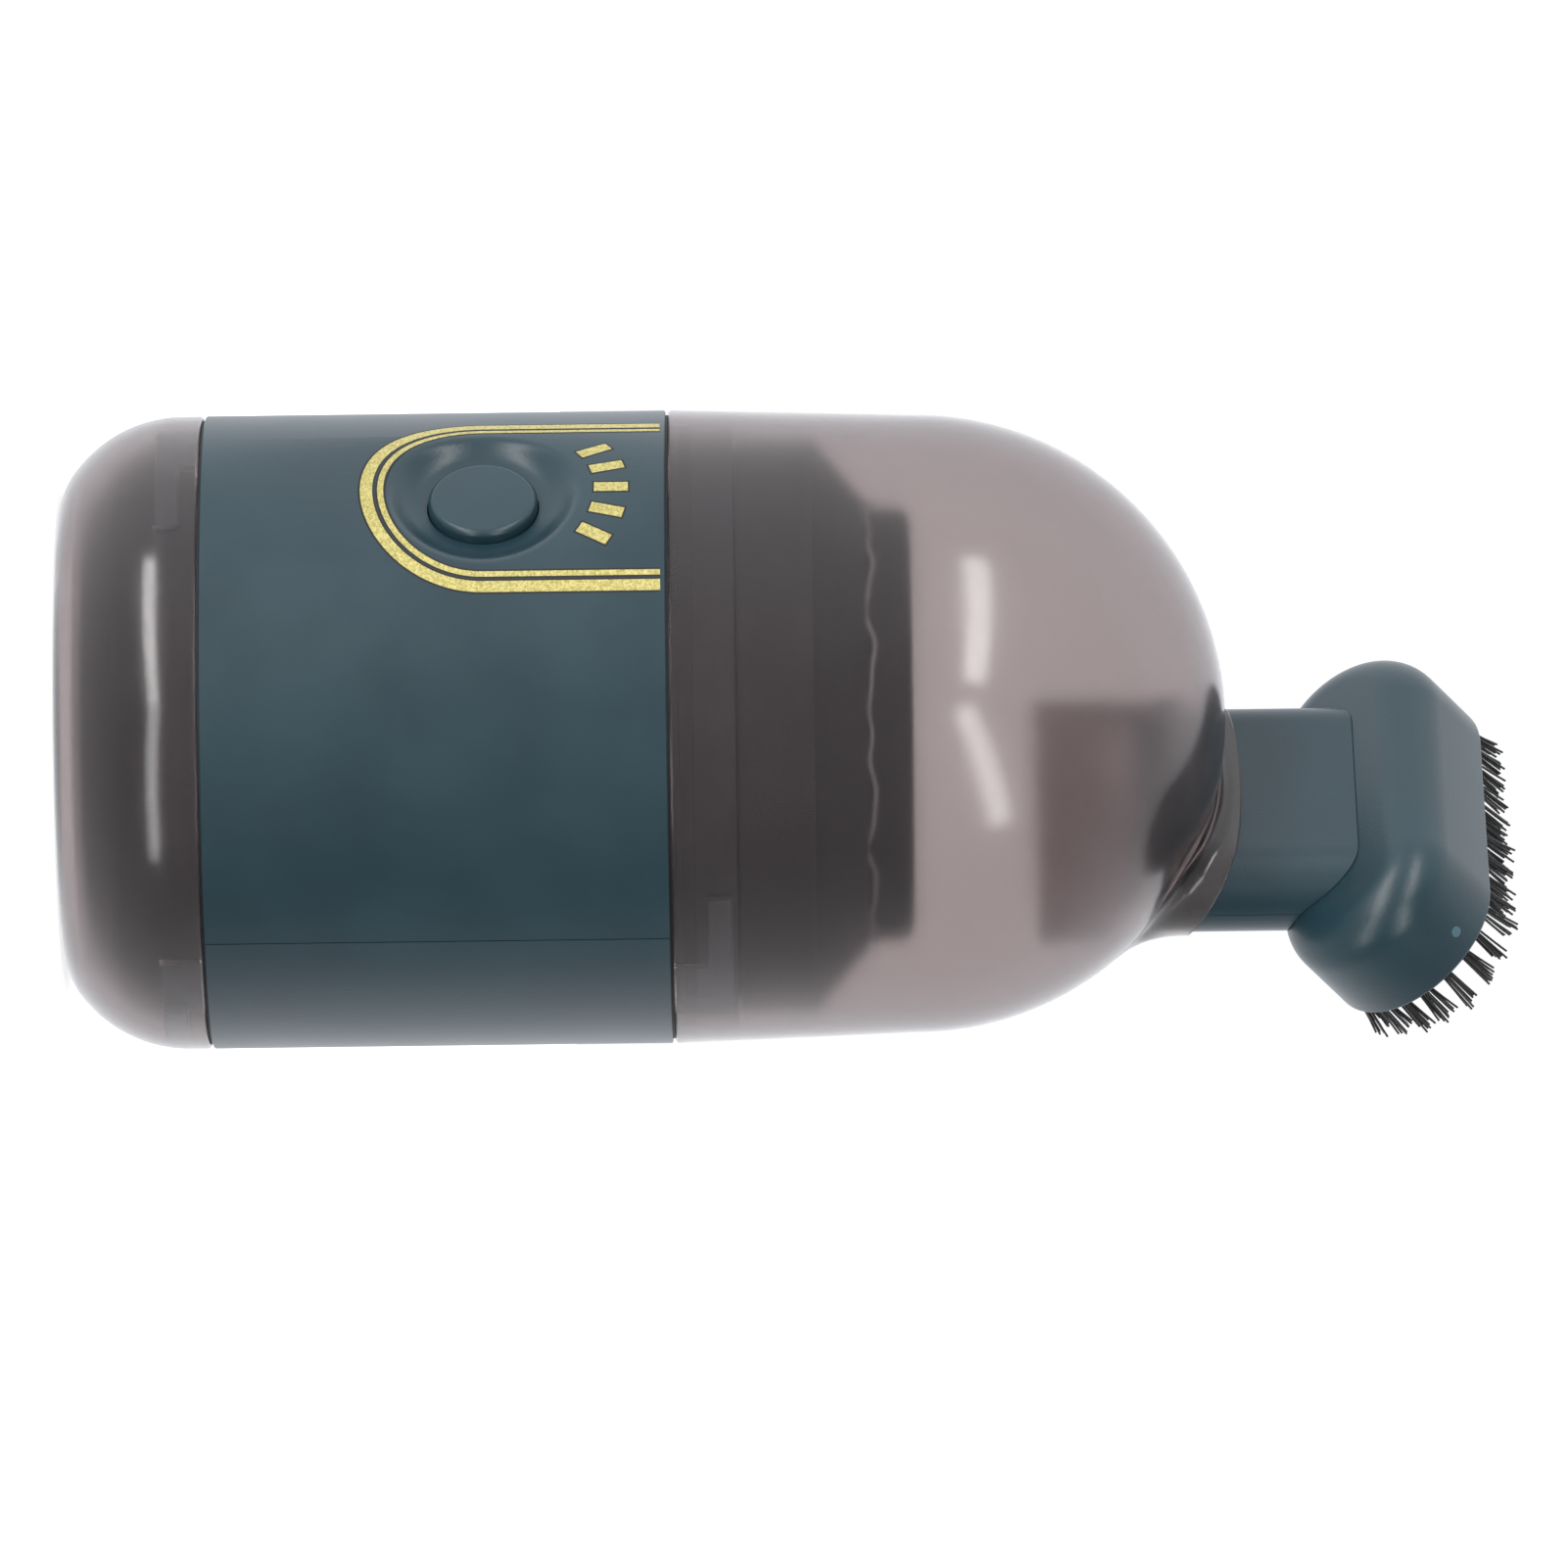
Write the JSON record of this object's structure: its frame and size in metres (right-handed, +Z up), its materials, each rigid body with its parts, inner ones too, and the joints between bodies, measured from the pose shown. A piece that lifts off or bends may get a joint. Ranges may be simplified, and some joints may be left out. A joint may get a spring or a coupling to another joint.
{
  "type": "desktop vacuum cleaner",
  "caption": "Palm-sized upright vacuum cleaner with a tube body, push button, clear twist-off rear cap and dust cup, and a flat neck with a tilted brush head.",
  "frame": {"origin": "centre of the flat base of the rear cap", "axes": "+Z up the body's axis to the brush head, -Y out through the power button, +Y towards the neck's side, +X along the seam"},
  "size_m": [0.072, 0.072, 0.1655],
  "materials": {
    "smoke_clear": "smoky clear polycarbonate, polished",
    "teal_shell": "satin moulded ABS",
    "dark_plastic": "satin moulded ABS",
    "grey_plastic": "moulded nylon",
    "white_plastic": "moulded nylon",
    "motor_steel": "zinc plated",
    "soft_foam": "open cell foam",
    "gauze_mesh": "woven wire",
    "cell_wrap": "shrink wrap",
    "circuit_board": "solder mask",
    "seal_rubber": "moulded",
    "bristle_nylon": "drawn nylon"
  },
  "bodies": {
    "housing": {"housing_front": "teal_shell", "housing_back": "teal_shell", "front_collar": "dark_plastic", "rear_tray": "dark_plastic", "motor_bulkhead": "dark_plastic", "fan_shroud": "dark_plastic", "motor_can": "motor_steel", "motor_endbell": "white_plastic", "motor_sleeve": "soft_foam", "battery_left": "cell_wrap", "battery_right": "cell_wrap", "battery_bridge": "dark_plastic", "button_board": "circuit_board", "push_switch": "dark_plastic", "board_screws": "motor_steel", "motor_screws": "motor_steel", "charge_screws": "motor_steel", "charge_board": "circuit_board", "usb_port": "motor_steel", "cup_seal": "seal_rubber"},
    "button": {"power_button": "teal_shell", "switch_plunger": "white_plastic"},
    "rear_cap_body": {"rear_cap": "smoke_clear"},
    "cup": {"dust_cup": "smoke_clear", "nozzle_neck": "teal_shell"},
    "brush": {"brush_head": "teal_shell", "bristle_tufts": "bristle_nylon"},
    "filter": {"filter_frame": "dark_plastic", "filter_foam": "soft_foam", "filter_gauze": "gauze_mesh"},
    "rotor": {"impeller": "grey_plastic", "motor_shaft": "motor_steel"}
  },
  "joints": [
    {"name": "button_press", "type": "slide", "parent": "housing", "child": "button", "axis": [0, 1, 0], "range_m": [0, 0.0012], "stiffness_N_per_m": 600},
    {"name": "cap_twist", "type": "hinge", "parent": "housing", "child": "rear_cap_body", "pos_m": [0, 0, 0], "axis": [0, 0, 1], "range_deg": [0, 16.4]},
    {"name": "cup_twist", "type": "hinge", "parent": "housing", "child": "cup", "pos_m": [0, 0, 0.0691], "axis": [0, 0, 1], "range_deg": [-16.4, 0]},
    {"name": "brush_pull", "type": "slide", "parent": "cup", "child": "brush", "axis": [0, 0, 1], "range_m": [0, 0.012]},
    {"name": "filter_lift", "type": "slide", "parent": "housing", "child": "filter", "axis": [0, 0, 1], "range_m": [0, 0.01]},
    {"name": "fan_spin", "type": "hinge", "parent": "housing", "child": "rotor", "pos_m": [0, 0, 0.06], "axis": [0, 0, 1], "continuous": true}
  ]
}
